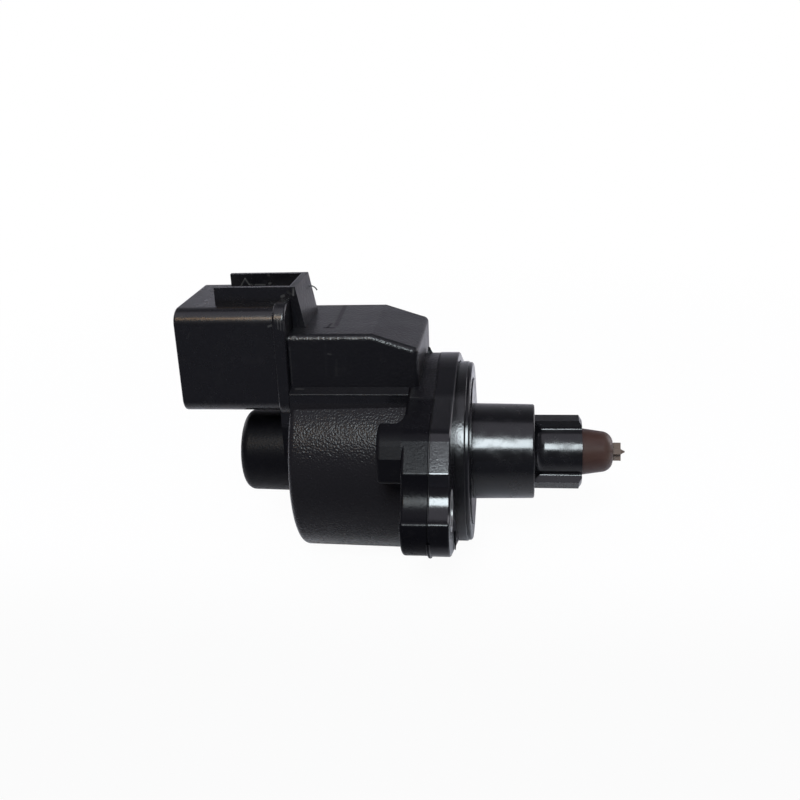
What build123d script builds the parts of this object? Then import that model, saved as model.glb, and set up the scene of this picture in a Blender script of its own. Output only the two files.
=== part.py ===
import os

from build123d import *

# An idle air control valve with a stepper motor, in millimetres. X runs along the valve's axis
# towards the nose, Z points up through the connector block, and the origin is the centre of
# the flange's front face, which seats on the throttle body.

# Fits shared by the pieces
bonded_gap = 0.02
seat_gap = 0.05
running_gap = 0.07
air_gap = 0.35

# Flange with two screw ears, a boss lobe and a scallop, moulded in two halves
flange_thick = 8.4
flange_r = 19.5
flange_low_r = 17.4
parting_x = -3.6
parting_step = 0.1
flange_chamfer = 0.2
ear_reach = 26.4
ear_r = 7.9
sleeve_r = 3.7
sleeve_bore_r = 2.75
boss_reach = 24.8
boss_r = 4.3
boss_root = 12.8
boss_angle = 23.9
boss_length = 4.4
boss_trim = 1.676
boss_drop = 6.1
boss_flare = 1.6
boss_edge_round = 1.2
boss_end_round = 0.8
scallop_offset = 10.6
scallop_angle = 11.7
scallop_r = 6.5
lip_round = 0.9
ear_edge_round = 0.6

# Motor can and rear hub
can_rear_x = -30.7
can_rear_r = 18.8
can_front_r = 19.2
can_edge_round = 1.3
hub_rear_x = -42.8
hub_rear_r = 8.1
hub_front_r = 8.35
hub_edge_round = 1.8
hub_root_round = 0.5
hub_bore_r = 6
hub_end_wall = 2

# Spigot, its seal groove and the recess for the nose guide
spigot_length = 2.6
spigot_lip_r = 17.5
spigot_chamfer = 0.25
seal_front_x = 1.9
seal_relief = 0.3
seal_relief_margin = 0.2
seal_r = 17.7
seal_depth = 2
seal_edge_round = 0.3
recess_depth = 2.4
spigot_wall = 1.25

# Connector block on the can, with the saddle under it
block_width = 22.4
block_top = 27.2
block_front_x = -6.5
block_slope_x = -14.9
block_front_top = 24.4
block_round = 1.1
saddle_width = 26.2
saddle_top = 17.3
saddle_edge_top = 16.5
saddle_round = 0.15

# Collar and shroud of the connector
collar_rear_x = -32.8
collar_front_x = -30.4
collar_margin = 0.9
collar_edge_round = 0.5
mouth_x = -51.5
shroud_width = 22.8
shroud_bottom = 12
shroud_top = 32
shroud_wall = 1.8
shroud_round = 2.8
mouth_round = 0.4
socket_depth = 16
socket_round = 1.2
key_width = 1.6
key_height = 0.9

# Rails and catch on the shroud, for the plug's latch
rail_front_x = -29.4
rail_length = 15.4
rail_height = 3
rail_thick = 1
rail_spacing = 11.2
bridge_thick = 1.2
bridge_foot_x = -28
catch_rear_x = -39.5
catch_length = 4
catch_height = 1.6
catch_width = 6

# Terminals, in two rows of three
terminal_width = 1.6
terminal_thick = 0.8
terminal_pitch = 4.6
row_spacing = 5
row_count = 3
blade_length = 10.5
blade_chamfer = 0.25
foot_depth = 1.5

# Stator: two stacks, each of a cup, a pole plate, a bobbin and a winding
stator_rear_x = -27.6
stack_length = 9.4
stator_r = 16.3
cup_wall = 0.9
plate_thick = 0.8
pole_thick = 0.8
pole_inset = 0.1
pole_width = 2.9
pole_count = 6
pole_end_gap = 0.8
bobbin_wall = 0.8
bobbin_flange = 0.7
winding_margin = 0.75
tower_width = 12.6
tower_length = 3.4
tower_clearance = 0.3
tower_rise = 2

# Rotor: a ring magnet on a nut that turns in a ball bearing and a bush
magnet_r = 8.6
magnet_inset = 1.1
nut_r = 5.6
front_journal_r = 4.5
rear_journal_r = 4
rear_journal_length = 5.4
rear_play = 0.4
nut_relief_r = 3.1
thread_length = 10

# Ball bearing, preload washer and bush
bearing_r = 7.5
bearing_width = 4
bearing_setback = 3.2
ball_r = 0.95
ball_count = 8
ball_gap = 0.08
race_land = 0.55
cage_width = 2.8
cage_thick = 0.8
washer_rise = 0.5
washer_thick = 0.25
washer_margin = 0.4
washer_width = 1.2
bush_length = 4.5

# Nose guide
guide_proud = 0.2
pocket_wall = 1.6
tube_end_x = 14.5
tube_base_r = 9.4
tube_tip_r = 9.2
tube_edge_round = 0.4
guide_end_x = 23.5
core_r = 5.8
core_flare = 1.9
rib_r = 7.5
rib_width = 2.4
rib_root_round = 0.5
rib_edge_round = 0.3
rib_end_run = 0.6
rib_end_drop = 1
key_count = 3
key_gap = 0.1
end_lip = 1.2
nose_clocking = 98
cross_clocking = 68

# Pintle and lead screw
pintle_r = 4.55
pintle_rear_x = 4.6
pintle_key_r = 5.9
pintle_key_width = 1.9
pintle_key_front_x = 15.4
cone_start_x = 23.5
cone_end_x = 27.6
cone_end_r = 3.95
nose_face_x = 29.5
nose_face_r = 2.3
cross_end_x = 31.1
cross_span = 3.5
cross_thick = 1
spike_end_x = 31.9
spike_tip = 0.25
screw_r = 2.4
screw_rear_x = -33
screw_seat = 13
screw_chamfer = 0.5

# Places worked out from the sizes above
flange_rear_x = -flange_thick
scallop_reach = ear_reach + scallop_offset
recess_x = spigot_length - recess_depth
guide_face_x = spigot_length + guide_proud
seal_seat_r = seal_r - seal_depth
guide_base_r = seal_seat_r - spigot_wall - seat_gap
socket_floor_x = mouth_x + socket_depth
shroud_height = shroud_top - shroud_bottom
shroud_z = (shroud_top + shroud_bottom) / 2
rail_top = shroud_top + rail_height
stator_mid_x = stator_rear_x + stack_length
stator_front_x = stator_mid_x + stack_length
pole_r = magnet_r + air_gap
pole_outer_r = ((pole_r + pole_inset + pole_thick) ** 2 + (pole_width / 2) ** 2) ** 0.5
bobbin_r = pole_outer_r + seat_gap
cup_bore_r = stator_r - cup_wall
bobbin_flange_r = cup_bore_r - seat_gap
winding_inner_r = bobbin_r + bobbin_wall + bonded_gap
winding_outer_r = bobbin_flange_r - winding_margin
tower_bottom = winding_outer_r + tower_clearance
tower_top = stator_r + tower_rise
bearing_front_x = recess_x - bearing_setback
bearing_rear_x = bearing_front_x - bearing_width
bearing_x = (bearing_front_x + bearing_rear_x) / 2
bearing_bore_r = front_journal_r + bonded_gap
ball_circle_r = (bearing_r + bearing_bore_r) / 2
pocket_r = bearing_r + seat_gap
pocket_outer_r = pocket_r + pocket_wall
washer_seat_x = bearing_front_x + washer_rise + washer_thick
washer_outer_r = bearing_r - washer_margin
magnet_front_x = stator_front_x - magnet_inset
magnet_rear_x = stator_rear_x + magnet_inset
nut_body_rear_x = stator_rear_x + rear_play
nut_rear_x = nut_body_rear_x - rear_journal_length
nut_bore_r = screw_r + running_gap
guide_bore_r = pintle_r + running_gap
keyway_r = pintle_key_r + key_gap
keyway_width = pintle_key_width + 2 * key_gap
keyway_end_x = guide_end_x - end_lip
foot_z = tower_top - foot_depth

os.makedirs("parts", exist_ok=True)


def save(piece, name):
    piece.label = name
    export_step(piece, f"parts/{name}.step")


# Lead screw: a rod at the thread's outer diameter, chamfered at both ends
with BuildPart() as lead_screw:
    with BuildSketch(Plane.YZ.offset(screw_rear_x)):
        Circle(screw_r)
    extrude(amount=pintle_rear_x + screw_seat - screw_rear_x)
    chamfer(lead_screw.edges().filter_by(GeomType.CIRCLE), screw_chamfer)
save(lead_screw.part, "lead_screw")

# Pintle: a tapered cone on a sliding barrel, with three keys behind and a crossed tip
with BuildPart() as pintle:
    with BuildSketch(Plane.XY):
        with BuildLine():
            Polyline((pintle_rear_x, 0), (pintle_rear_x, pintle_r), (cone_start_x, pintle_r))
            cone = Line((cone_start_x, pintle_r), (cone_end_x, cone_end_r))
            TangentArc(cone @ 1, (nose_face_x, nose_face_r), tangent=cone % 1)
            Polyline((nose_face_x, nose_face_r), (nose_face_x, 0), (pintle_rear_x, 0))
        make_face()
    revolve(axis=Axis.X)
    with BuildSketch(Plane.YZ.offset(pintle_rear_x)):
        with PolarLocations(pintle_key_r / 2, key_count, start_angle=nose_clocking):
            Rectangle(pintle_key_r, pintle_key_width)
    extrude(amount=pintle_key_front_x - pintle_rear_x)
    with BuildSketch(Plane.YZ.offset(nose_face_x)):
        Rectangle(cross_span, cross_thick, rotation=cross_clocking)
        Rectangle(cross_thick, cross_span, rotation=cross_clocking)
    extrude(amount=cross_end_x - nose_face_x)
    with BuildSketch(Plane.YZ.offset(cross_end_x)):
        Rectangle(cross_thick, cross_thick, rotation=cross_clocking)
    with BuildSketch(Plane.YZ.offset(spike_end_x)):
        Rectangle(spike_tip, spike_tip, rotation=cross_clocking)
    loft()
    with BuildSketch(Plane.YZ.offset(pintle_rear_x)):
        Circle(screw_r + bonded_gap)
    extrude(amount=screw_seat, mode=Mode.SUBTRACT)
save(pintle.part, "pintle")

# Nose guide: a base disc with a bearing pocket behind, a guide tube and a ribbed, keyed end
with BuildPart() as nose_guide:
    with BuildSketch(Plane.XY):
        with BuildLine():
            Polyline(
                (bearing_rear_x, 0),
                (bearing_rear_x, pocket_outer_r),
                (recess_x, pocket_outer_r),
                (recess_x, guide_base_r),
                (guide_face_x, guide_base_r),
                (guide_face_x, tube_base_r),
                (tube_end_x, tube_tip_r),
                (tube_end_x, core_r + core_flare),
            )
            CenterArc((tube_end_x + core_flare, core_r + core_flare), core_flare, 180, 90)
            Polyline(
                (tube_end_x + core_flare, core_r),
                (guide_end_x, core_r),
                (guide_end_x, 0),
                (bearing_rear_x, 0),
            )
        make_face()
    revolve(axis=Axis.X)
    rims = nose_guide.edges().filter_by(GeomType.CIRCLE)
    tube_rims = rims.filter_by_position(Axis.X, tube_end_x - seat_gap, tube_end_x + seat_gap)
    fillet(tube_rims.sort_by(SortBy.RADIUS)[-1], tube_edge_round)
    with BuildSketch(Plane.YZ.offset(tube_end_x)) as ribbed_section:
        Circle(core_r)
        with PolarLocations(rib_r / 2, key_count, start_angle=nose_clocking):
            Rectangle(rib_r, rib_width)
        corners = ribbed_section.vertices().group_by(lambda v: v.center().length > rib_r)
        fillet(corners[0], rib_root_round)
        fillet(corners[1], rib_edge_round)
    extrude(amount=guide_end_x - tube_end_x)
    with BuildSketch(Plane.XY):
        with BuildLine():
            Polyline(
                (guide_end_x - rib_end_run, rib_r + rib_end_drop),
                (guide_end_x - rib_end_run, rib_r),
                (guide_end_x, rib_r - rib_end_drop),
                (guide_end_x, rib_r + rib_end_drop),
                close=True,
            )
        make_face()
    revolve(axis=Axis.X, mode=Mode.SUBTRACT)
    with BuildSketch(Plane.YZ.offset(bearing_rear_x)):
        Circle(pocket_r)
    extrude(amount=washer_seat_x - bearing_rear_x, mode=Mode.SUBTRACT)
    with BuildSketch(Plane.YZ.offset(washer_seat_x)):
        Circle(guide_bore_r)
    extrude(amount=guide_end_x - washer_seat_x, mode=Mode.SUBTRACT)
    with BuildSketch(Plane.YZ.offset(washer_seat_x)):
        with PolarLocations(keyway_r / 2, key_count, start_angle=nose_clocking):
            Rectangle(keyway_r, keyway_width)
    extrude(amount=keyway_end_x - washer_seat_x, mode=Mode.SUBTRACT)
save(nose_guide.part, "nose_guide")

# Rotor nut: front journal in the bearing, body under the magnet, rear journal in the bush
with BuildPart() as rotor_nut:
    with BuildSketch(Plane.XY):
        with BuildLine():
            Polyline(
                (nut_rear_x, nut_relief_r),
                (nut_rear_x, rear_journal_r),
                (nut_body_rear_x, rear_journal_r),
                (nut_body_rear_x, nut_r),
                (bearing_rear_x, nut_r),
                (bearing_rear_x, front_journal_r),
                (bearing_front_x, front_journal_r),
                (bearing_front_x, nut_bore_r),
                (bearing_front_x - thread_length, nut_bore_r),
                (bearing_front_x - thread_length, nut_relief_r),
                close=True,
            )
        make_face()
    revolve(axis=Axis.X)
save(rotor_nut.part, "rotor_nut")

# Rotor magnet: a plain ring bonded round the nut
with BuildPart() as rotor_magnet:
    with BuildSketch(Plane.YZ.offset(magnet_rear_x)):
        Circle(magnet_r)
        Circle(nut_r + bonded_gap, mode=Mode.SUBTRACT)
    extrude(amount=magnet_front_x - magnet_rear_x)
save(rotor_magnet.part, "rotor_magnet")

# Bearing races: two rings with a ball groove turned into each
races = {
    "bearing_outer_race": (ball_circle_r + race_land, bearing_r),
    "bearing_inner_race": (bearing_bore_r, ball_circle_r - race_land),
}
for race_name, (race_bore_r, race_rim_r) in races.items():
    with BuildPart() as race:
        with BuildSketch(Plane.XY):
            with Locations((bearing_x, (race_bore_r + race_rim_r) / 2)):
                Rectangle(bearing_width, race_rim_r - race_bore_r)
            with Locations((bearing_x, ball_circle_r)):
                Circle(ball_r + ball_gap, mode=Mode.SUBTRACT)
        revolve(axis=Axis.X)
    save(race.part, race_name)

# Bearing balls: one ring of equal balls
with BuildPart() as bearing_balls:
    with Locations(Plane.YZ.offset(bearing_x)):
        with PolarLocations(ball_circle_r, ball_count):
            Sphere(ball_r)
save(bearing_balls.part, "bearing_balls")

# Bearing cage: a ring with a round pocket for each ball
with BuildPart() as bearing_cage:
    with BuildSketch(Plane.YZ.offset(bearing_x - cage_width / 2)):
        Circle(ball_circle_r + cage_thick / 2)
        Circle(ball_circle_r - cage_thick / 2, mode=Mode.SUBTRACT)
    extrude(amount=cage_width)
    with Locations(Plane.YZ.offset(bearing_x)):
        with PolarLocations(ball_circle_r, ball_count):
            Cylinder(ball_r + ball_gap, 2 * cage_thick, rotation=(0, 90, 0), mode=Mode.SUBTRACT)
save(bearing_cage.part, "bearing_cage")

# Preload washer: a shallow cone between the outer race and the end of the bearing pocket
with BuildPart() as preload_washer:
    with BuildSketch(Plane.XY):
        with BuildLine():
            Polyline(
                (bearing_front_x, washer_outer_r),
                (bearing_front_x + washer_thick, washer_outer_r),
                (washer_seat_x, washer_outer_r - washer_width),
                (washer_seat_x - washer_thick, washer_outer_r - washer_width),
                close=True,
            )
        make_face()
    revolve(axis=Axis.X)
save(preload_washer.part, "preload_washer")

# Rear bush: a plain sleeve pressed into the mouth of the hub
with BuildPart() as rear_bush:
    with BuildSketch(Plane.YZ.offset(stator_rear_x)):
        Circle(hub_bore_r - bonded_gap)
        Circle(rear_journal_r + running_gap, mode=Mode.SUBTRACT)
    extrude(amount=-bush_length)
save(rear_bush.part, "rear_bush")

# Stator stacks: the rear one faces forward and the front one is its mirror image
stacks = {"rear": (stator_rear_x, 1), "front": (stator_front_x, -1)}
tower_x = {}
for stack_name, (end_x, inward) in stacks.items():
    end_plane = Plane.YZ.offset(end_x)
    wall_plane = Plane.YZ.offset(end_x + inward * plate_thick)
    plate_plane = Plane.YZ.offset(end_x + inward * (stack_length - plate_thick))
    pole_length = stack_length - 2 * plate_thick - pole_end_gap
    bobbin_plane = Plane.YZ.offset(end_x + inward * (plate_thick + seat_gap))
    bobbin_length = stack_length - 2 * plate_thick - 2 * seat_gap
    winding_length = bobbin_length - 2 * bobbin_flange - 2 * bonded_gap
    tower_x[stack_name] = end_x + inward * (plate_thick + seat_gap + tower_length / 2)

    # Cup: an end wall with bent-in poles, and an outer wall with a window for the tower
    with BuildPart() as cup:
        with BuildSketch(end_plane):
            Circle(stator_r)
            Circle(pole_r, mode=Mode.SUBTRACT)
        extrude(amount=inward * plate_thick)
        with BuildSketch(wall_plane):
            Circle(stator_r)
            Circle(cup_bore_r, mode=Mode.SUBTRACT)
        extrude(amount=inward * (stack_length - plate_thick))
        with BuildSketch(wall_plane):
            with PolarLocations(pole_r + pole_inset + pole_thick / 2, pole_count):
                Rectangle(pole_thick, pole_width)
        extrude(amount=inward * pole_length)
        with BuildSketch(Plane.XY.offset(tower_bottom)):
            with Locations((tower_x[stack_name], 0)):
                Rectangle(tower_length + 2 * seat_gap, tower_width + 2 * seat_gap)
        extrude(amount=tower_top - tower_bottom, mode=Mode.SUBTRACT)
    save(cup.part, f"{stack_name}_stator_cup")

    # Pole plate: closes the stack, with its poles between the cup's
    with BuildPart() as pole_plate:
        with BuildSketch(plate_plane):
            Circle(cup_bore_r - seat_gap)
            Circle(pole_r, mode=Mode.SUBTRACT)
        extrude(amount=inward * plate_thick)
        with BuildSketch(plate_plane):
            with PolarLocations(pole_r + pole_inset + pole_thick / 2, pole_count, start_angle=180 / pole_count):
                Rectangle(pole_thick, pole_width)
        extrude(amount=-inward * pole_length)
    save(pole_plate.part, f"{stack_name}_pole_plate")

    # Bobbin: a flanged spool with a terminal tower on its outer flange
    with BuildPart() as bobbin:
        with BuildSketch(bobbin_plane):
            Circle(bobbin_flange_r)
        extrude(amount=inward * bobbin_length)
        with BuildSketch(bobbin_plane.offset(inward * bobbin_flange)):
            Circle(bobbin_flange_r)
            Circle(bobbin_r + bobbin_wall, mode=Mode.SUBTRACT)
        extrude(amount=inward * (bobbin_length - 2 * bobbin_flange), mode=Mode.SUBTRACT)
        with BuildSketch(Plane.XY.offset(tower_bottom)):
            with Locations((tower_x[stack_name], 0)):
                Rectangle(tower_length, tower_width)
        extrude(amount=tower_top - tower_bottom)
        with BuildSketch(bobbin_plane):
            Circle(bobbin_r)
        extrude(amount=inward * bobbin_length, mode=Mode.SUBTRACT)
        with BuildSketch(Plane.XY.offset(foot_z)):
            with Locations((tower_x[stack_name], 0)):
                with GridLocations(0, terminal_pitch, 1, row_count):
                    Rectangle(terminal_thick + 2 * bonded_gap, terminal_width + 2 * bonded_gap)
        extrude(amount=foot_depth, mode=Mode.SUBTRACT)
    save(bobbin.part, f"{stack_name}_bobbin")

    # Winding: the whole coil of enamelled wire as one ring
    with BuildPart() as winding:
        with BuildSketch(bobbin_plane.offset(inward * (bobbin_flange + bonded_gap))):
            Circle(winding_outer_r)
            Circle(winding_inner_r, mode=Mode.SUBTRACT)
        extrude(amount=inward * winding_length)
    save(winding.part, f"{stack_name}_winding")

# Terminals: a blade in the socket and a leg down to a bobbin's tower, bent from one strip
terminals = []
rows = {"lower": ("rear", shroud_z - row_spacing / 2), "upper": ("front", shroud_z + row_spacing / 2)}
for row_name, (stack_name, row_z) in rows.items():
    leg_x = tower_x[stack_name]
    blade_tip_x = socket_floor_x - blade_length
    for column in range(row_count):
        column_y = (column - (row_count - 1) / 2) * terminal_pitch
        with BuildPart() as terminal:
            with BuildSketch(Plane.XZ.offset(-column_y)):
                with BuildLine():
                    Polyline(
                        (blade_tip_x, row_z + terminal_thick / 2),
                        (leg_x + terminal_thick / 2, row_z + terminal_thick / 2),
                        (leg_x + terminal_thick / 2, foot_z),
                        (leg_x - terminal_thick / 2, foot_z),
                        (leg_x - terminal_thick / 2, row_z - terminal_thick / 2),
                        (blade_tip_x, row_z - terminal_thick / 2),
                        close=True,
                    )
                make_face()
            extrude(amount=terminal_width / 2, both=True)
            chamfer(terminal.faces().sort_by(Axis.X)[0].edges(), blade_chamfer)
        terminals.append(terminal.part)
        save(terminal.part, f"{row_name}_terminal_{column + 1}")

# Can, hub and spigot, turned from one profile
with BuildPart() as can_form:
    with BuildSketch(Plane.XY):
        with BuildLine():
            Polyline(
                (hub_rear_x, 0),
                (hub_rear_x, hub_rear_r),
                (can_rear_x, hub_front_r),
                (can_rear_x, can_rear_r),
                (flange_rear_x, can_front_r),
                (parting_x, can_front_r),
                (parting_x, seal_seat_r),
                (seal_front_x, seal_seat_r),
                (seal_front_x, spigot_lip_r),
                (spigot_length - spigot_chamfer, spigot_lip_r),
                (spigot_length, spigot_lip_r - spigot_chamfer),
                (spigot_length, 0),
                close=True,
            )
        make_face()
    revolve(axis=Axis.X)
    rims = can_form.edges().filter_by(GeomType.CIRCLE).sort_by(Axis.X)
    can_rims = rims.filter_by_position(Axis.X, can_rear_x - seat_gap, can_rear_x + seat_gap)
    fillet(rims[0], hub_edge_round)
    fillet(can_rims.sort_by(SortBy.RADIUS)[-1], can_edge_round)
    fillet(can_rims.sort_by(SortBy.RADIUS)[0], hub_root_round)

# Flange outline: tangent lines round the far ear, the body, the boss lobe and the near ear
boss_centre = Vector(-boss_reach, 0).rotate(Axis.Z, -boss_angle)
scallop_centre = Vector(-scallop_reach, 0).rotate(Axis.Z, -scallop_angle)
body_centre = Vector(0, 0)
flange_rounds = [
    (Vector(ear_reach, 0), ear_r),
    (body_centre, flange_r),
    (boss_centre, boss_r),
    (Vector(-ear_reach, 0), ear_r),
    (body_centre, flange_low_r),
]


def tangent_normal(first, second):
    (first_centre, first_r), (second_centre, second_r) = first, second
    along = (second_centre - first_centre).normalized()
    rise = (first_r - second_r) / (second_centre - first_centre).length
    return along.rotate(Axis.Z, -90) * (1 - rise**2) ** 0.5 + along * rise


def flange_outline(inset):
    rounds = flange_rounds
    with BuildSketch() as outline:
        with BuildLine():
            for i, (centre, radius) in enumerate(rounds):
                before = tangent_normal(rounds[i - 1], rounds[i])
                after = tangent_normal(rounds[i], rounds[(i + 1) % len(rounds)])
                arc_r = radius - inset
                next_centre, next_r = rounds[(i + 1) % len(rounds)]
                ThreePointArc(
                    centre + before * arc_r,
                    centre + (before + after).normalized() * arc_r,
                    centre + after * arc_r,
                )
                Line(centre + after * arc_r, next_centre + after * (next_r - inset))
        make_face()
        with Locations(scallop_centre):
            Circle(scallop_r + inset, mode=Mode.SUBTRACT)
        fillet(outline.vertices().sort_by_distance(scallop_centre)[0:2], lip_round)
    return outline.sketch


# Flange halves: a sharp front half, and a rounded rear half that steps in at the parting line
with BuildPart() as flange_front_form:
    with BuildSketch(Plane.YZ.offset(parting_x)):
        add(flange_outline(0))
    extrude(amount=-parting_x)
    chamfer(flange_front_form.faces().sort_by(Axis.X)[-1].edges(), flange_chamfer)

with BuildPart() as flange_rear_form:
    with BuildSketch(Plane.YZ.offset(parting_x)):
        add(flange_outline(parting_step))
    extrude(amount=flange_rear_x - parting_x)
    fillet(flange_rear_form.faces().sort_by(Axis.X)[0].edges(), ear_edge_round)

# Boss: a tongue behind the flange's lobe, flared into the flange and kept inside its outline
boss_rear_x = flange_rear_x - boss_length
boss_corner = Vector(boss_reach + boss_r, boss_drop).rotate(Axis.Z, -boss_angle)
boss_near = boss_corner.X - boss_trim
boss_plane = Plane(origin=(0, 0, 0), x_dir=(1, 0, 0), z_dir=(0, boss_centre.X, boss_centre.Y))

with BuildPart() as boss_form:
    with BuildSketch(boss_plane.offset(boss_root)):
        with BuildLine():
            Polyline(
                (parting_x, boss_r + boss_flare),
                (parting_x, -boss_drop),
                (boss_rear_x, -boss_drop),
                (boss_rear_x, boss_r),
                (flange_rear_x - boss_flare, boss_r),
            )
            CenterArc((flange_rear_x - boss_flare, boss_r + boss_flare), boss_flare, -90, 90)
            Line((flange_rear_x, boss_r + boss_flare), (parting_x, boss_r + boss_flare))
        make_face()
    extrude(amount=boss_reach + boss_r - boss_root)
    with BuildSketch(Plane.YZ.offset(parting_x)):
        add(flange_outline(parting_step))
        Rectangle(2 * boss_near, 2 * boss_near, mode=Mode.INTERSECT)
    extrude(amount=boss_rear_x - parting_x, mode=Mode.INTERSECT)
    near_face = boss_form.faces().filter_by(Axis.Y).sort_by(Axis.Y)[0]
    fillet(near_face.edges().sort_by(Axis.Z)[0], boss_edge_round)
    fillet(boss_form.faces().sort_by(Axis.X)[0].edges(), boss_end_round)

# Connector block: a box with a sloping front top, on a wider saddle that meets the can
with BuildPart() as block_form:
    with BuildSketch(Plane.XZ):
        with BuildLine():
            Polyline(
                (collar_rear_x, 0),
                (collar_rear_x, block_top),
                (block_slope_x, block_top),
                (block_front_x, block_front_top),
                (block_front_x, 0),
                close=True,
            )
        make_face()
    extrude(amount=block_width / 2, both=True)
    fillet(block_form.edges().filter_by(Axis.Z).group_by(Axis.X)[-1], block_round)
    fillet(block_form.faces().sort_by(Axis.Z)[-2:].edges(), block_round)

with BuildPart() as saddle_form:
    with BuildSketch(Plane.YZ.offset(collar_front_x)):
        with BuildLine():
            Polyline(
                (-saddle_width / 2, 0),
                (-saddle_width / 2, saddle_edge_top),
                (-block_width / 2, saddle_top),
                (block_width / 2, saddle_top),
                (saddle_width / 2, saddle_edge_top),
                (saddle_width / 2, 0),
                close=True,
            )
        make_face()
    extrude(amount=flange_rear_x - collar_front_x)
    ridges = saddle_form.edges().filter_by(Axis.X)
    fillet(ridges.filter_by_position(Axis.Z, saddle_edge_top, saddle_edge_top), saddle_round)

# Connector shroud and collar, with the two rails, their bridge and the catch on top
with BuildPart() as shroud_form:
    with BuildSketch(Plane.YZ.offset(mouth_x)):
        with Locations((0, shroud_z)):
            RectangleRounded(shroud_width, shroud_height, shroud_round)
    extrude(amount=collar_rear_x - mouth_x)
    fillet(shroud_form.faces().sort_by(Axis.X)[0].edges(), mouth_round)

with BuildPart() as collar_form:
    with BuildSketch(Plane.YZ.offset(collar_rear_x)):
        with Locations((0, shroud_z)):
            RectangleRounded(
                shroud_width + 2 * collar_margin,
                shroud_height + 2 * collar_margin,
                shroud_round + collar_margin,
            )
    extrude(amount=collar_front_x - collar_rear_x)
    fillet(collar_form.faces().sort_by(Axis.X)[0].edges(), collar_edge_round)
    fillet(collar_form.faces().sort_by(Axis.X)[-1].edges(), collar_edge_round)

with BuildPart() as rail_form:
    with BuildSketch(Plane.XY.offset(shroud_z)):
        with Locations((rail_front_x - rail_length / 2, 0)):
            with GridLocations(0, rail_spacing, 1, 2):
                Rectangle(rail_length, rail_thick)
    extrude(amount=rail_top - shroud_z)
    with BuildSketch(Plane.XZ):
        with BuildLine():
            Polyline(
                (rail_front_x - bridge_thick, shroud_z),
                (rail_front_x - bridge_thick, rail_top),
                (rail_front_x, rail_top),
                (bridge_foot_x, block_top),
                (bridge_foot_x, shroud_z),
                close=True,
            )
        make_face()
    extrude(amount=(rail_spacing + rail_thick) / 2, both=True)
    with BuildSketch(Plane.XZ):
        with BuildLine():
            Polyline(
                (catch_rear_x - catch_length, shroud_z),
                (catch_rear_x - catch_length, shroud_top),
                (catch_rear_x, shroud_top + catch_height),
                (catch_rear_x, shroud_z),
                close=True,
            )
        make_face()
    extrude(amount=catch_width / 2, both=True)

# Housing: the moulded body, hollow for the motor, the socket and what is moulded into it
with BuildPart() as housing:
    add(can_form.part)
    add(flange_front_form.part)
    add(flange_rear_form.part)
    add(boss_form.part)
    add(block_form.part)
    add(saddle_form.part)
    add(shroud_form.part)
    add(collar_form.part)
    add(rail_form.part)
    with BuildSketch(Plane.YZ.offset(mouth_x)):
        with Locations((0, shroud_z)):
            RectangleRounded(
                shroud_width - 2 * shroud_wall, shroud_height - 2 * shroud_wall, socket_round
            )
        with Locations((0, shroud_bottom + shroud_wall)):
            with GridLocations(row_count * terminal_pitch - terminal_pitch, 0, 2, 1):
                Rectangle(key_width, 2 * key_height, mode=Mode.SUBTRACT)
    extrude(amount=socket_depth, mode=Mode.SUBTRACT)
    with BuildSketch(Plane.XY):
        with BuildLine():
            Polyline(
                (hub_rear_x + hub_end_wall, 0),
                (hub_rear_x + hub_end_wall, hub_bore_r),
                (stator_rear_x, hub_bore_r),
                (stator_rear_x, stator_r + seat_gap),
                (stator_front_x, stator_r + seat_gap),
                (stator_front_x, pocket_outer_r + seat_gap),
                (recess_x, pocket_outer_r + seat_gap),
                (recess_x, guide_base_r + seat_gap),
                (spigot_length, guide_base_r + seat_gap),
                (spigot_length, 0),
                close=True,
            )
        make_face()
    revolve(axis=Axis.X, mode=Mode.SUBTRACT)
    with BuildSketch(Plane.YZ.offset(-seal_relief)):
        Circle(seal_r + seal_relief_margin)
        Circle(seal_seat_r, mode=Mode.SUBTRACT)
    extrude(amount=seal_relief, mode=Mode.SUBTRACT)
    with BuildSketch(Plane.YZ.offset(flange_rear_x)):
        with Locations((-ear_reach, 0), (ear_reach, 0)):
            Circle(sleeve_r + bonded_gap)
    extrude(amount=flange_thick, mode=Mode.SUBTRACT)
    with BuildSketch(Plane.XY.offset(tower_bottom)):
        with Locations((tower_x["rear"], 0), (tower_x["front"], 0)):
            Rectangle(tower_length + 2 * seat_gap, tower_width + 2 * seat_gap)
    extrude(amount=tower_top - tower_bottom, mode=Mode.SUBTRACT)
    for moulded_in in terminals:
        add(moulded_in, mode=Mode.SUBTRACT)
save(housing.part, "housing")

# Ear sleeves: steel tubes in the screw ears, which stop the screws crushing the plastic
for sleeve_name, side in {"near_ear_sleeve": -1, "far_ear_sleeve": 1}.items():
    with BuildPart() as sleeve:
        with BuildSketch(Plane.YZ.offset(flange_rear_x)):
            with Locations((side * ear_reach, 0)):
                Circle(sleeve_r)
                Circle(sleeve_bore_r, mode=Mode.SUBTRACT)
        extrude(amount=flange_thick)
    save(sleeve.part, sleeve_name)

# Seal ring: a square rubber ring in the groove between the flange and the spigot's lip
with BuildPart() as seal_ring:
    with BuildSketch(Plane.YZ.offset(-seal_relief)):
        Circle(seal_r)
        Circle(seal_seat_r + bonded_gap, mode=Mode.SUBTRACT)
    extrude(amount=seal_front_x + seal_relief)
    seal_rims = seal_ring.edges().filter_by(GeomType.CIRCLE).group_by(SortBy.RADIUS)[-1]
    fillet(seal_rims, seal_edge_round)
save(seal_ring.part, "seal_ring")
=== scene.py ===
import math
import bpy
from mathutils import Matrix, Vector


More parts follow.
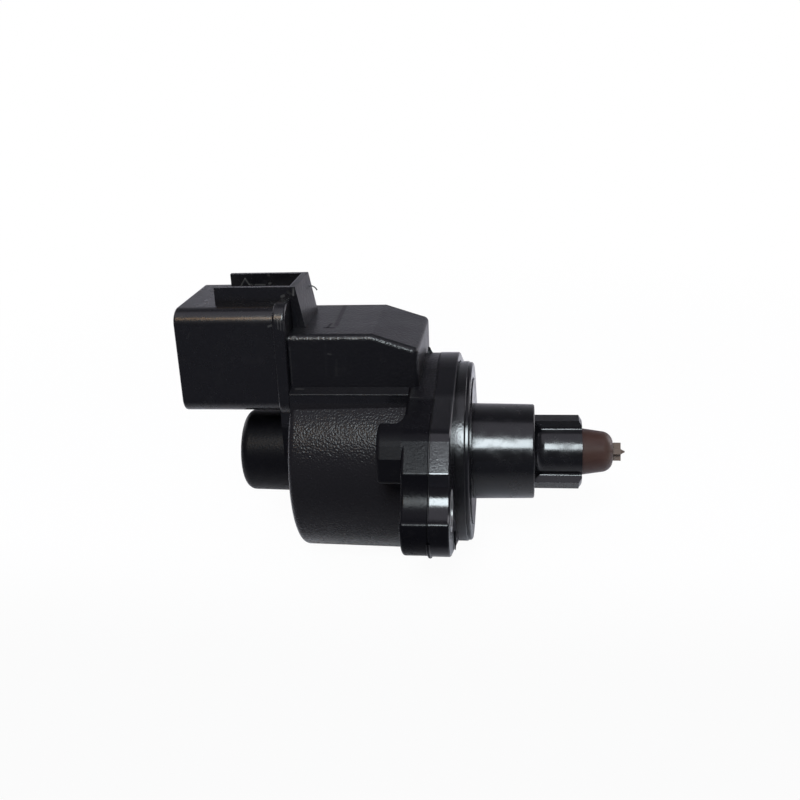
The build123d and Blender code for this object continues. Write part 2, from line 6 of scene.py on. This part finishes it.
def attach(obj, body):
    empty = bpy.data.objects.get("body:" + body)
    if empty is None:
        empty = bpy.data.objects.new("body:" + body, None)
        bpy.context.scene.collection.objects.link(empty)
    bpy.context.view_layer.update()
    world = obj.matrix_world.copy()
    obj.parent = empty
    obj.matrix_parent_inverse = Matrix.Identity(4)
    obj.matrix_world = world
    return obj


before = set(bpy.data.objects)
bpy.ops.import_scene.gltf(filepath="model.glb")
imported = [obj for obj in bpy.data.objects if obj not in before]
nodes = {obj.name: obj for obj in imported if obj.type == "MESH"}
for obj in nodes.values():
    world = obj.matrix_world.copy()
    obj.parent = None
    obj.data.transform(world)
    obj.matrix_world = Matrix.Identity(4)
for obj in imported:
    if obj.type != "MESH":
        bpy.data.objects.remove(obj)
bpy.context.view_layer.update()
scene = bpy.context.scene
scene.view_settings.view_transform = "Standard"


# Housing: one black moulding of glass-filled plastic with the hub, motor can, flange, connector block
# and shroud in one piece. The can carries an eroded grain, the front half of the flange came off a
# polished tool face, its rear half is dull, and scuffs and nicks mark the rails and the block. Pale
# streaks on the collar's fillet and along the block's foot are painted highlights.
class Field:
    """A value that changes over a surface: arithmetic on it adds Math nodes."""

    def __init__(self, tree, socket=None):
        self.tree = tree
        self.socket = socket

    def node(self, kind, settings, sockets, out=0):
        made = self.tree.nodes.new(kind)
        for name, value in settings.items():
            setattr(made, name, value)
        for name, value in sockets.items():
            if isinstance(value, Field):
                self.tree.links.new(value.socket, made.inputs[name])
            else:
                made.inputs[name].default_value = value
        return Field(self.tree, made.outputs[out] if made.outputs else None)

    def maths(self, operation, first, second):
        return self.node("ShaderNodeMath", {"operation": operation}, {0: first, 1: second})

    def vectors(self, operation, sockets, out=0):
        return self.node("ShaderNodeVectorMath", {"operation": operation}, sockets, out)

    def __add__(self, other):
        return self.maths("ADD", self, other)

    def __radd__(self, other):
        return self.maths("ADD", other, self)

    def __sub__(self, other):
        return self.maths("SUBTRACT", self, other)

    def __rsub__(self, other):
        return self.maths("SUBTRACT", other, self)

    def __mul__(self, other):
        return self.maths("MULTIPLY", self, other)

    def __rmul__(self, other):
        return self.maths("MULTIPLY", other, self)

    def __truediv__(self, other):
        return self.maths("DIVIDE", self, other)

    def __pow__(self, other):
        return self.maths("POWER", self, other)


def finish(name):
    made = bpy.data.materials.new(name)
    made.use_nodes = True
    made.node_tree.nodes.clear()
    return made, Field(made.node_tree)


def place(blank):
    return blank.node("ShaderNodeTexCoord", {}, {}, "Object")


def axes(where):
    parts = where.node("ShaderNodeSeparateXYZ", {}, {0: where})
    return [Field(where.tree, parts.socket.node.outputs[axis]) for axis in ("X", "Y", "Z")]


def rise(value, low, high):
    return value.node("ShaderNodeMapRange", {"interpolation_type": "SMOOTHSTEP"},
                      {"Value": value, "From Min": low, "From Max": high})


def noise(where, scale, detail=2.0, roughness=0.5):
    return where.node("ShaderNodeTexNoise", {}, {"Vector": where, "Scale": scale, "Detail": detail,
                                                 "Roughness": roughness})


def blend(amount, first, second):
    return amount.node("ShaderNodeMix", {"data_type": "RGBA"}, {0: amount, 6: first, 7: second}, 2)


def bump(height, strength, depth, sunk=False):
    return height.node("ShaderNodeBump", {"invert": sunk},
                       {"Strength": strength, "Distance": depth, "Height": height})


def streak(where, start, end, width):
    run = Vector(end) - Vector(start)
    reach = where.vectors("SUBTRACT", {0: where, 1: start})
    share = where.vectors("DOT_PRODUCT", {0: reach, 1: run / run.length_squared}, 1)
    share = where.node("ShaderNodeClamp", {}, {"Value": share})
    along = where.vectors("SCALE", {0: run, "Scale": share})
    gap = where.vectors("DISTANCE", {0: reach, 1: along}, 1)
    return 1 - rise(gap, width * 0.4, width)


def dress(made, *names):
    for name in names:
        nodes[name].data.materials.clear()
        nodes[name].data.materials.append(made)


can_radius, can_rear, can_front = 0.0190, -0.0307, -0.0084
can_dull, can_fade = -0.0100, 0.0060
tongue_rear, tongue_inner = -0.0130, -0.0165
parting_line, seam_half = -0.0036, 0.00020
block_foot, block_rear = 0.0165, -0.0303
hub_top = 0.0096
ear_foot, lip_y = -0.0140, -0.0336
edge = 0.0002
mould_strength, mould_depth = 0.8, 0.00012
bright_ior, dull_ior = 1.5, 1.2
plastic_black = (0.0036, 0.0035, 0.0048, 1)
plastic_worn = (0.0066, 0.0062, 0.0074, 1)
plastic_matt = (0.0115, 0.0108, 0.0125, 1)
scuff_and_sheen_grey = (0.075, 0.074, 0.072, 1)
nick_black = (0.0012, 0.0012, 0.0014, 1)

# Each mark is a start, an end, a half width and a strength.
scuffs_and_sheen = (
    ((-0.0428, 0.0051, 0.0327), (-0.0419, 0.0051, 0.0341), 0.00017, 0.50),
    ((-0.0419, 0.0051, 0.0341), (-0.0412, 0.0051, 0.0329), 0.00017, 0.60),
    ((-0.0412, 0.0051, 0.0329), (-0.0380, 0.0051, 0.0328), 0.00016, 0.50),
    ((-0.0371, 0.0051, 0.0330), (-0.0369, 0.0051, 0.0331), 0.00030, 0.40),
    ((-0.0372, 0.0051, 0.0347), (-0.0370, 0.0051, 0.0346), 0.00025, 0.25),
    ((-0.0297, -0.0061, 0.0347), (-0.0298, -0.0061, 0.0334), 0.00022, 0.70),
    ((-0.0320, -0.0061, 0.0332), (-0.0316, -0.0061, 0.0334), 0.00035, 0.40),
    ((-0.0341, -0.0063, 0.0320), (-0.0333, -0.0066, 0.0320), 0.00022, 0.40),
    ((-0.0230, -0.0112, 0.0237), (-0.0225, -0.0112, 0.0236), 0.00022, 0.30),
    ((-0.0236, -0.0112, 0.0196), (-0.0234, -0.0112, 0.0256), 0.00025, 0.03),
    ((-0.0217, -0.0112, 0.0196), (-0.0215, -0.0112, 0.0226), 0.00030, 0.05),
    ((-0.0239, 0.0108, 0.0272), (-0.0231, -0.0058, 0.0272), 0.00030, 0.22),
    ((-0.0079, -0.0143, 0.0165), (-0.0032, -0.0148, 0.0165), 0.00016, 0.45),
    # The next four marks are painted highlights: pale streaks and a glint where the lamp catches the
    # collar's fillet.
    ((-0.0316, -0.0121, 0.0304), (-0.0316, -0.0123, 0.0288), 0.00018, 0.30),
    ((-0.0311, -0.0121, 0.0304), (-0.0311, -0.0123, 0.0286), 0.00018, 0.30),
    ((-0.0306, -0.0121, 0.0304), (-0.0306, -0.0122, 0.0284), 0.00016, 0.25),
    ((-0.0336, -0.0114, 0.0290), (-0.0330, -0.0114, 0.0292), 0.00026, 0.45),
    ((-0.0300, -0.0112, 0.0252), (-0.0301, -0.0112, 0.0180), 0.00016, 0.12),
    ((-0.0293, -0.0109, 0.0269), (-0.0290, -0.0109, 0.0269), 0.00030, 0.90),
    # A painted highlight: the lamp's line on the fillet at the block's foot, painted as a pale streak.
    ((-0.0294, -0.0117, 0.0171), (-0.0280, -0.0117, 0.0171), 0.00028, 0.25),
    ((-0.0490, -0.0114, 0.0270), (-0.0484, -0.0114, 0.0279), 0.00028, 0.05),
)
nicks = (
    ((-0.0232, 0.0108, 0.0272), (-0.0224, -0.0050, 0.0272), 0.00060, 0.45),
    ((-0.0243, -0.0062, 0.0272), (-0.0226, -0.0064, 0.0272), 0.00048, 1.0),
    ((-0.0238, -0.0062, 0.0272), (-0.0236, -0.0035, 0.0272), 0.00036, 0.9),
    ((-0.0307, -0.0061, 0.0341), (-0.0303, -0.0061, 0.0339), 0.00040, 0.9),
)

moulding, blank = finish("moulded_black_plastic")
where = place(blank)
x, y, z = axes(where)

radius = (y * y + z * z) ** 0.5
near_can = rise(radius, can_radius - 0.0012, can_radius - 0.0006)
past_can = rise(radius, can_radius + 0.0004, can_radius + 0.0010)
along_can = rise(x, can_rear - edge, can_rear + 0.0010) * (1 - rise(x, can_front - 0.0006, can_front))
on_can = near_can * (1 - past_can) * along_can
polished = rise(x, parting_line - edge / 2, parting_line + edge / 2)
over_foot = rise(z, block_foot - 2 * edge, block_foot)
on_block = over_foot * rise(x, block_rear - edge, block_rear) * (1 - polished)
on_hub = (1 - rise(x, can_rear - 0.0010, can_rear - edge)) * (1 - rise(z, hub_top - 0.0006, hub_top))
on_top = rise(y, ear_foot - 0.0010, ear_foot + 0.0010)
on_tongue = rise(x, tongue_rear - edge, tongue_rear) * (1 - rise(y, tongue_inner - 0.0010, tongue_inner))
on_rim = rise(x, can_front - edge, can_front)
satin = on_rim.maths("MAXIMUM", on_rim, on_tongue) * (1 - polished) * (1 - on_can) * (1 - on_block)
on_lip = polished * (1 - rise(y, lip_y - edge, lip_y + edge))
off_seam = rise((x - parting_line) * (x - parting_line), 0.0, seam_half * seam_half)
on_seam = 1 - off_seam

grain = noise(where, 3000.0, 0.0, 0.5)
mottle = noise(where, 1700.0, 3.0, 0.6)
swirl = noise(where, 190.0, 3.0)
fine = noise(where, 6000.0, 2.0)
worn = rise(noise(where, 420.0, 4.0, 0.7), 0.52, 0.78)
scuffed_and_sheen = sum(streak(where, *mark) * amount for *mark, amount in scuffs_and_sheen)
scuffed_and_sheen = scuffed_and_sheen + on_seam * on_top * rise(mottle, 0.48, 0.62) * 0.2
nicked = sum(streak(where, *mark) * amount for *mark, amount in nicks)

colour = blend(worn, plastic_black, plastic_worn)
colour = blend(on_can, colour, plastic_matt)
# Pale grey laid over real scuffs and over the painted highlights marked in the table above.
colour = blend(scuffed_and_sheen * (0.5 + mottle), colour, scuff_and_sheen_grey)
colour = blend(nicked + on_seam * (1 - on_top) * 0.7, colour, nick_black)

roughness = 0.27 + (swirl - 0.5) * 0.12 + on_block * 0.04 - polished * 0.11 + worn * 0.04
roughness = roughness + on_tongue * satin * (1 - on_rim) * 0.20 + on_hub * 0.14
roughness = roughness + nicked * 0.25 + scuffed_and_sheen * 0.2 + on_seam * 0.2

height = grain * (on_can * 0.7 + on_block * 0.5 + on_hub * 0.2 + 0.08) + fine * 0.06 + swirl * 0.25
height = height + mottle * (on_block * 0.5 + satin * 0.2) + off_seam * 0.8 - nicked * 0.3

dulled = satin + on_hub + on_can * rise(z, can_dull - can_fade, can_dull) * 0.95
dulled = dulled + on_lip * 0.8 + polished * on_top * 0.7 + on_block * 0.35

skin = {"Base Color": colour, "Roughness": roughness, "Normal": bump(height, mould_strength, mould_depth)}
bright = blank.node("ShaderNodeBsdfPrincipled", {}, {**skin, "IOR": bright_ior})
dull = blank.node("ShaderNodeBsdfPrincipled", {}, {**skin, "IOR": dull_ior})
both = blank.node("ShaderNodeMixShader", {}, {0: dulled, 1: bright, 2: dull})
blank.node("ShaderNodeOutputMaterial", {}, {"Surface": both})
dress(moulding, "housing")


# Flash: scraps of the housing's plastic that squeezed out between the mould halves and were left on.
# A ridge runs under the near ear on the parting line, a nub stands on the flange's top, a sliver
# hangs at the flange's front edge and a curled hair sticks out of the bridge.
def open_scrap(name):
    made = bpy.context.object
    made.name = name
    bpy.ops.object.transform_apply(location=True, rotation=True, scale=True)
    bpy.ops.object.mode_set(mode="EDIT")
    bpy.ops.mesh.select_all(action="SELECT")
    return made


def torn_cone(name, at, tilt, sides, base, tip, length, cuts, tear, seed):
    bpy.ops.object.select_all(action="DESELECT")
    bpy.ops.mesh.primitive_cone_add(vertices=sides, radius1=base, radius2=tip, depth=length,
                                    location=at, rotation=tilt)
    made = open_scrap(name)
    bpy.ops.mesh.subdivide(number_cuts=cuts)
    bpy.ops.transform.vertex_random(offset=tear, seed=seed)
    bpy.ops.object.mode_set(mode="OBJECT")
    return made


ear_round, ear_middle = 0.0079, -0.0264
ridge_half, ridge_top, ridge_end = 0.00034, -0.0026, -0.0285
hair_half, hair_curl, hair_turn = 0.00013, 0.0013, -1.25
hair_root = Vector((-0.0290, 0.0054, 0.0324))

bpy.ops.object.select_all(action="DESELECT")
bpy.ops.mesh.primitive_torus_add(major_radius=ear_round, minor_radius=ridge_half,
                                 major_segments=120, minor_segments=10,
                                 location=(parting_line, ear_middle, 0), rotation=(0, math.pi / 2, 0))
ear_ridge = open_scrap("ear_flash_ridge")
bpy.ops.mesh.bisect(plane_co=(0, 0, ridge_top), plane_no=(0, 0, 1), use_fill=True, clear_outer=True)
bpy.ops.mesh.select_all(action="SELECT")
bpy.ops.mesh.bisect(plane_co=(0, ridge_end, 0), plane_no=(0, 1, 0), use_fill=True, clear_outer=True)
bpy.ops.object.mode_set(mode="OBJECT")

top_nub = torn_cone("flange_flash_nub", (-0.0059, 0.0041, 0.0194), (-0.2, -0.15, 0), sides=10,
                    base=0.0007, tip=0.00012, length=0.0015, cuts=3, tear=0.00012, seed=3)
sliver = torn_cone("flange_flash_sliver", (0.00015, -0.0215, -0.0084), (math.pi - 0.32, 0, 0), sides=8,
                   base=0.00022, tip=0.00008, length=0.0034, cuts=5, tear=0.00005, seed=5)

bpy.ops.object.select_all(action="DESELECT")
bpy.ops.mesh.primitive_circle_add(vertices=8, radius=hair_half, fill_type="NGON",
                                  location=hair_root, rotation=(0, math.pi / 2, 0))
hair = open_scrap("bridge_flash_hair")
bpy.ops.mesh.spin(steps=10, angle=hair_turn, center=hair_root - Vector((0, 0, hair_curl)), axis=(0, 1, 0))
bpy.ops.mesh.select_all(action="SELECT")
bpy.ops.mesh.fill_holes(sides=0)
bpy.ops.mesh.normals_make_consistent(inside=False)
bpy.ops.object.mode_set(mode="OBJECT")

for scrap in (ear_ridge, top_nub, sliver, hair):
    scrap.data.materials.append(moulding)
    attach(scrap, "valve_body")


# Sleeves: two rolled steel tubes in the screw ears, moulded in, which take the load of the screws.
# The steel is zinc plated, with a drawn grain along the tube.
def squeeze(where, shares):
    return where.node("ShaderNodeMapping", {}, {"Vector": where, "Scale": shares})


def surface(blank, sockets):
    shader = blank.node("ShaderNodeBsdfPrincipled", {}, sockets)
    blank.node("ShaderNodeOutputMaterial", {}, {"Surface": shader})


steel_grey = (0.50, 0.50, 0.49, 1)
steel_dull = (0.34, 0.34, 0.33, 1)

plated, blank = finish("plated_steel")
where = place(blank)
drawn = noise(squeeze(where, (0.12, 1.0, 1.0)), 3800.0, 3.0)
stain = rise(noise(where, 260.0, 3.0), 0.45, 0.75)
surface(blank, {"Base Color": blend(stain, steel_grey, steel_dull), "Metallic": 1.0,
                "Roughness": 0.28 + drawn * 0.14 + stain * 0.10, "Normal": bump(drawn, 0.25, 0.00002)})
dress(plated, "near_ear_sleeve", "far_ear_sleeve")

# Terminals: six tin-plated brass blades, stamped and bent, moulded into the back wall of the socket.
# The plating is bright with a fine grain and dulls toward the tips, where a plug has wiped it.
tin_bright = (0.62, 0.62, 0.60, 1)
tin_wiped = (0.44, 0.43, 0.40, 1)
blade_tip, blade_root = -0.0460, -0.0400

tinned, blank = finish("tinned_blade")
where = place(blank)
x, y, z = axes(where)
wiped = (1 - rise(x, blade_tip, blade_root)) * rise(noise(where, 900.0, 3.0), 0.35, 0.70)
rolled = noise(squeeze(where, (0.08, 1.0, 1.0)), 5200.0, 2.0)
surface(blank, {"Base Color": blend(wiped, tin_bright, tin_wiped), "Metallic": 1.0,
                "Roughness": 0.24 + rolled * 0.12 + wiped * 0.12, "Normal": bump(rolled, 0.2, 0.00001)})
dress(tinned, "lower_terminal_1", "lower_terminal_2", "lower_terminal_3",
      "upper_terminal_1", "upper_terminal_2", "upper_terminal_3")

# Stators: two stacks in the can, each a drawn steel cup and a toothed pole plate round a bobbin.
# The sheet steel is annealed, so it is a dull blue grey with darker heat stains.
iron_grey = (0.30, 0.31, 0.33, 1)
iron_blue = (0.16, 0.17, 0.21, 1)

annealed, blank = finish("annealed_sheet_steel")
where = place(blank)
heat = rise(noise(where, 240.0, 4.0, 0.6), 0.40, 0.70)
pressed = noise(where, 2600.0, 3.0)
surface(blank, {"Base Color": blend(heat, iron_grey, iron_blue), "Metallic": 1.0,
                "Roughness": 0.36 + pressed * 0.12 + heat * 0.08, "Normal": bump(pressed, 0.2, 0.00002)})
dress(annealed, "rear_stator_cup", "rear_pole_plate", "front_stator_cup", "front_pole_plate")

# Bobbins: moulded in natural nylon, a warm translucent white that is matt from the tool. The rotor's
# nut and the bearing's cage are moulded in the same nylon.
nylon_white = (0.60, 0.57, 0.49, 1)
nylon_warm = (0.47, 0.42, 0.33, 1)

nylon, blank = finish("natural_nylon")
where = place(blank)
flow = rise(noise(where, 150.0, 3.0), 0.40, 0.70)
tooled = noise(where, 3400.0, 3.0)
surface(blank, {"Base Color": blend(flow, nylon_white, nylon_warm),
                "Roughness": 0.46 + tooled * 0.14 + flow * 0.05, "Normal": bump(tooled, 0.25, 0.00003)})
dress(nylon, "rear_bobbin", "front_bobbin", "rotor_nut", "bearing_cage")

# Windings: fine enamelled copper wire, laid in turns side by side on the bobbins.
# Each turn shows as a rounded ridge round the axis, with a painted highlight on its crown and painted
# shade in the groove between turns.
wire_pitch = 0.00022
copper_lit_crown = (0.55, 0.23, 0.09, 1)
copper_shaded_groove = (0.27, 0.09, 0.04, 1)

enamelled, blank = finish("enamelled_copper_wire")
where = place(blank)
x, y, z = axes(where)
turn = x.maths("PINGPONG", x, wire_pitch / 2) / (wire_pitch / 2)
crown = rise(turn, 0.05, 0.75)
enamel = rise(noise(where, 700.0, 2.0), 0.35, 0.70)
# Painted light: the crown of each turn is painted lighter and the groove between turns darker.
copper = blend(crown * (0.6 + 0.4 * enamel), copper_shaded_groove, copper_lit_crown)
surface(blank, {"Base Color": copper, "Metallic": 1.0, "Roughness": 0.22 + enamel * 0.12,
                "Normal": bump(crown, 0.6, 0.00008), "Coat Weight": 0.5})
dress(enamelled, "rear_winding", "front_winding")

# Rear bush: a sintered bronze ring pressed into the hub, which carries the rear end of the rotor.
# Its skin is full of fine dark pores that hold oil.
bronze_face = (0.50, 0.31, 0.13, 1)
bronze_pore = (0.16, 0.09, 0.04, 1)

sintered, blank = finish("sintered_bronze")
where = place(blank)
pores = rise(noise(where, 5200.0, 3.0, 0.7), 0.54, 0.66)
surface(blank, {"Base Color": blend(pores, bronze_face, bronze_pore), "Metallic": 1.0,
                "Roughness": 0.34 + pores * 0.25, "Normal": bump(pores, 0.5, 0.00003, sunk=True)})
dress(sintered, "rear_bush")

# Rotor magnet: a ring of sintered ferrite bonded on the nut, dark grey and slightly gritty.
# Its outside is ground, so faint marks run round it.
ferrite_grey = (0.052, 0.052, 0.056, 1)
ferrite_light = (0.090, 0.088, 0.088, 1)

ferrite, blank = finish("ground_ferrite")
where = place(blank)
grit = noise(where, 3000.0, 4.0, 0.7)
ground = noise(squeeze(where, (1.0, 0.1, 0.1)), 4200.0, 2.0)
surface(blank, {"Base Color": blend(rise(grit, 0.45, 0.75), ferrite_grey, ferrite_light), "Metallic": 0.25,
                "Roughness": 0.48 + grit * 0.14, "Normal": bump(grit * 0.6 + ground * 0.4, 0.3, 0.00002)})
dress(ferrite, "rotor_magnet")

# Front bearing: a small ball bearing with ground chrome-steel races and balls, and a wave washer
# of spring steel that keeps it preloaded. Fine grinding marks run round the races.
race_bright = (0.66, 0.66, 0.67, 1)
race_shade = (0.50, 0.50, 0.52, 1)

ground_race, blank = finish("ground_bearing_steel")
where = place(blank)
marks = noise(squeeze(where, (1.0, 0.06, 0.06)), 9000.0, 2.0)
oil = rise(noise(where, 500.0, 3.0), 0.45, 0.70)
surface(blank, {"Base Color": blend(oil, race_bright, race_shade), "Metallic": 1.0,
                "Roughness": 0.14 + marks * 0.10 + oil * 0.05, "Normal": bump(marks, 0.12, 0.00001)})
dress(ground_race, "bearing_outer_race", "bearing_inner_race", "bearing_balls", "preload_washer")

# Lead screw: a turned steel rod that stands in for the threaded one, fixed in the pintle at the front.
# It is bright and carries a film of grease, and its tooling marks run round it.
screw_bright = (0.52, 0.52, 0.52, 1)
screw_grease = (0.30, 0.27, 0.21, 1)

turned, blank = finish("turned_steel")
where = place(blank)
film = rise(noise(where, 380.0, 3.0), 0.42, 0.70)
tooling = noise(squeeze(where, (1.0, 0.08, 0.08)), 6000.0, 2.0)
surface(blank, {"Base Color": blend(film, screw_bright, screw_grease), "Metallic": 1.0,
                "Roughness": 0.22 + tooling * 0.10 + film * 0.14, "Normal": bump(tooling, 0.2, 0.00001)})
dress(turned, "lead_screw")

# Pintle: the brown plug that closes the air port, moulded on the lead screw in a heat-proof plastic.
# Its shank is satin, and the cut gate left at the tip is paler and rough.
pintle_brown = (0.043, 0.0205, 0.0160, 1)
pintle_flow = (0.057, 0.0300, 0.0235, 1)
gate_tan = (0.130, 0.096, 0.078, 1)
nose_face, nose_shoulder = 0.0296, 0.0270
pintle_ior = 1.35

brown, blank = finish("brown_pintle_plastic")
where = place(blank)
x, y, z = axes(where)
flow = rise(noise(squeeze(where, (0.25, 1.0, 1.0)), 480.0, 3.0), 0.35, 0.75)
pebble = noise(where, 3200.0, 3.0)
gate = rise(x, nose_face - 0.0002, nose_face + 0.0001)
paler = rise(x, nose_shoulder, nose_face) * 0.35
base = blend(flow, pintle_brown, pintle_flow)
base = blend(paler + gate * 0.65, base, gate_tan)
surface(blank, {"Base Color": base, "Roughness": 0.36 + flow * 0.08 + gate * 0.2,
                "Normal": bump(pebble + gate * pebble * 3, 0.3, 0.00003), "IOR": pintle_ior})
dress(brown, "pintle")

# Nose guide: a stepped tube moulded in glossy black plastic, with three ribs at its end over the
# keyways. Drag lines from the tool run along it, and smears and dust lie in the gloss.
nose_black = (0.0030, 0.0031, 0.0040, 1)
nose_dust = (0.0120, 0.0122, 0.0135, 1)
nose_ior = 1.5

glossy, blank = finish("glossy_nose_plastic")
where = place(blank)
drag = noise(squeeze(where, (0.10, 1.0, 1.0)), 1500.0, 3.0)
dust = rise(noise(where, 2600.0, 2.0, 0.7), 0.69, 0.80)
ripple = noise(where, 260.0, 2.0)
smear = rise(noise(where, 330.0, 3.0, 0.6), 0.42, 0.66)
height = drag * 0.25 + ripple * 1.2 + dust * 0.2
surface(blank, {"Base Color": blend(dust, nose_black, nose_dust),
                "Roughness": 0.14 + drag * 0.08 + smear * 0.12 + dust * 0.2,
                "Normal": bump(height, 0.35, 0.00004), "IOR": nose_ior})
dress(glossy, "nose_guide")

# Seal: a moulded rubber ring in the groove round the spigot, black and satin.
# Its skin is slightly pebbled, with a faint grey bloom.
rubber_black = (0.0050, 0.0050, 0.0056, 1)
rubber_bloom = (0.0110, 0.0110, 0.0118, 1)

rubber, blank = finish("seal_rubber")
where = place(blank)
bloom = rise(noise(where, 700.0, 4.0, 0.7), 0.48, 0.78)
pebble = noise(where, 2900.0, 2.0)
surface(blank, {"Base Color": blend(bloom, rubber_black, rubber_bloom),
                "Roughness": 0.15 + bloom * 0.10 + pebble * 0.06, "Normal": bump(pebble, 0.5, 0.00006)})
dress(rubber, "seal_ring")


# Stage: a plain pale floor and backdrop that run out of sight and look white to the camera. In reflections
# the floor shows a painted shade in front of the part. The lights follow the photograph: one soft lamp
# above the camera, a small warm panel on its left, a dim wide panel overhead and two dim panels behind
# at the sides.
def ray(blank, kind):
    return blank.node("ShaderNodeLightPath", {}, {}, kind)


def paper_sheet(blank, colour, whiteness):
    paper = blank.node("ShaderNodeBsdfDiffuse", {}, {"Color": colour})
    white = blank.node("ShaderNodeEmission", {}, {"Color": plain_white, "Strength": 1.0})
    both = blank.node("ShaderNodeMixShader", {}, {0: whiteness, 1: paper, 2: white})
    blank.node("ShaderNodeOutputMaterial", {}, {"Surface": both})


def lamp(name, at, toward, wide, high, radiance, colour):
    made = bpy.data.lights.new(name, "AREA")
    made.shape = "RECTANGLE"
    made.size = wide
    made.size_y = high
    made.energy = radiance * math.pi * wide * high
    made.color = colour
    held = bpy.data.objects.new(name, made)
    held.location = at
    held.rotation_euler = (Vector(toward) - Vector(at)).to_track_quat("-Z", "Y").to_euler()
    scene.collection.objects.link(held)


plain_white = (1, 1, 1, 1)
floor_z, floor_wide = -0.0196, 6.0
floor_painted_shade, floor_pale = (0.13, 0.13, 0.15, 1), (0.92, 0.91, 0.94, 1)
floor_white, shadow_near, shadow_far = 0.96, 0.10, 0.30
backdrop_wide, backdrop_at = 4.0, (0, 0.75, 0.5)
backdrop_pale = (0.85, 0.84, 0.88, 1)
room_grey, room_strength = (0.97, 0.94, 1.08, 1), 0.15
side_white = (1.0, 0.98, 1.04)
middle = (-0.010, 0, 0)

bpy.ops.object.select_all(action="DESELECT")
bpy.ops.mesh.primitive_plane_add(size=floor_wide, location=(0, 0, floor_z))
floor = bpy.context.object
floor.name = "floor"
pale, blank = finish("pale_floor")
x, y, z = axes(place(blank))
away = rise((x * x + y * y) ** 0.5, shadow_near, shadow_far)
# The floor's colour darkens towards the front: a painted shade, seen only in reflections.
paper_sheet(blank, blend(rise(y, -0.048, -0.002), floor_painted_shade, floor_pale),
            ray(blank, "Is Camera Ray") * (floor_white + away * (1 - floor_white)))
floor.data.materials.append(pale)

bpy.ops.object.select_all(action="DESELECT")
bpy.ops.mesh.primitive_plane_add(size=backdrop_wide, location=backdrop_at, rotation=(math.pi / 2, 0, 0))
backdrop = bpy.context.object
backdrop.name = "backdrop"
white_sheet, blank = finish("white_backdrop")
paper_sheet(blank, backdrop_pale, ray(blank, "Is Camera Ray") + ray(blank, "Is Glossy Ray") * 0.03)
backdrop.data.materials.append(white_sheet)

world = bpy.data.worlds.new("studio")
scene.world = world
world.use_nodes = True
world.node_tree.nodes.clear()
sky = Field(world.node_tree)
room = sky.node("ShaderNodeBackground", {}, {"Color": room_grey, "Strength": room_strength})
white = sky.node("ShaderNodeBackground", {}, {"Color": plain_white, "Strength": 1.0})
both = sky.node("ShaderNodeMixShader", {}, {0: ray(sky, "Is Camera Ray"), 1: room, 2: white})
sky.node("ShaderNodeOutputWorld", {}, {"Surface": both})

lamp("soft_lamp", (-0.014, -0.456, 0.390), middle, 0.16, 0.22, 25.0, (0.90, 1.0, 1.05))
lamp("warm_panel", (-0.185, -0.440, 0.370), middle, 0.12, 0.09, 9.0, (1.0, 0.60, 0.28))
lamp("left_panel", (-0.420, 0.280, 0.160), middle, 0.30, 0.30, 2.5, side_white)
lamp("right_panel", (0.420, 0.280, 0.160), middle, 0.30, 0.30, 2.5, side_white)
lamp("overhead_panel", (-0.01, -0.15, 0.50), middle, 0.80, 0.40, 0.75, (1.0, 0.97, 1.10))

# Camera: close to the part, a little to the nose's side and above it, as the photograph was taken.
# Its angles and lens were fitted to the outline in the photograph.
azimuth, elevation, roll = math.radians(7.42), math.radians(20.23), math.radians(-2.46)
distance, shift_right, shift_up = 0.19374, -0.00204, 0.00996
outward = math.cos(elevation)
back = Vector((math.sin(azimuth) * outward, -math.cos(azimuth) * outward, math.sin(elevation)))
level = Vector((math.cos(azimuth), math.sin(azimuth), 0))
upright = back.cross(level)
right = level * math.cos(roll) + upright * math.sin(roll)
up = upright * math.cos(roll) - level * math.sin(roll)
eye = Vector(middle) + back * distance + right * shift_right + up * shift_up
camera_data = bpy.data.cameras.new("camera")
camera_data.sensor_width = 36.0
camera_data.lens = 43.70
camera_data.clip_start = 0.01
camera = bpy.data.objects.new("camera", camera_data)
camera.matrix_world = Matrix((
    (right.x, up.x, back.x, eye.x),
    (right.y, up.y, back.y, eye.y),
    (right.z, up.z, back.z, eye.z),
    (0, 0, 0, 1),
))
scene.collection.objects.link(camera)
scene.camera = camera
